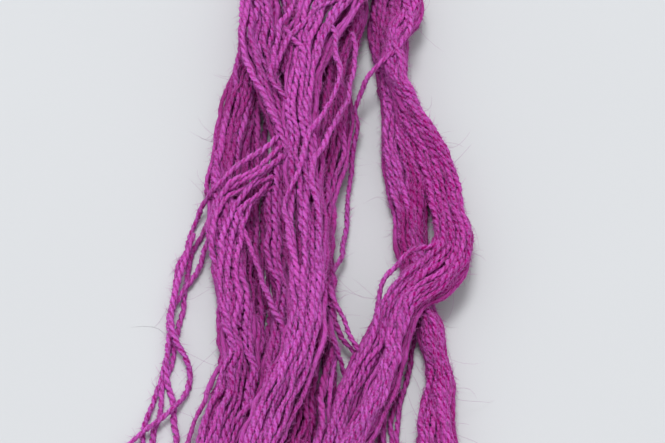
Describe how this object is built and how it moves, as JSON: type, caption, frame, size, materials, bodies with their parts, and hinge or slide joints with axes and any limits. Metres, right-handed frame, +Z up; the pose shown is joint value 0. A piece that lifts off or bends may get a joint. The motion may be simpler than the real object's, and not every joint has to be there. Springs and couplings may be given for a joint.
{
  "type": "hank of yarn",
  "caption": "Loose hank of fine two-ply wool yarn lying on a surface: a long wound ring with a raised lock, a folded lock, loose turns and a loose end.",
  "frame": {"origin": "centre of the laid hank's outline, on the surface that it lies on", "axes": "+X across the hank, +Y along its length from the near bend to the far bend, +Z up from the surface"},
  "size_m": [0.0664, 0.215, 0.0121],
  "materials": {
    "yarn": "soft magenta-violet wool with a fine halo of fibres"
  },
  "bodies": {
    "root": {"hank": "yarn", "loose_end": "yarn"}
  },
  "joints": []
}
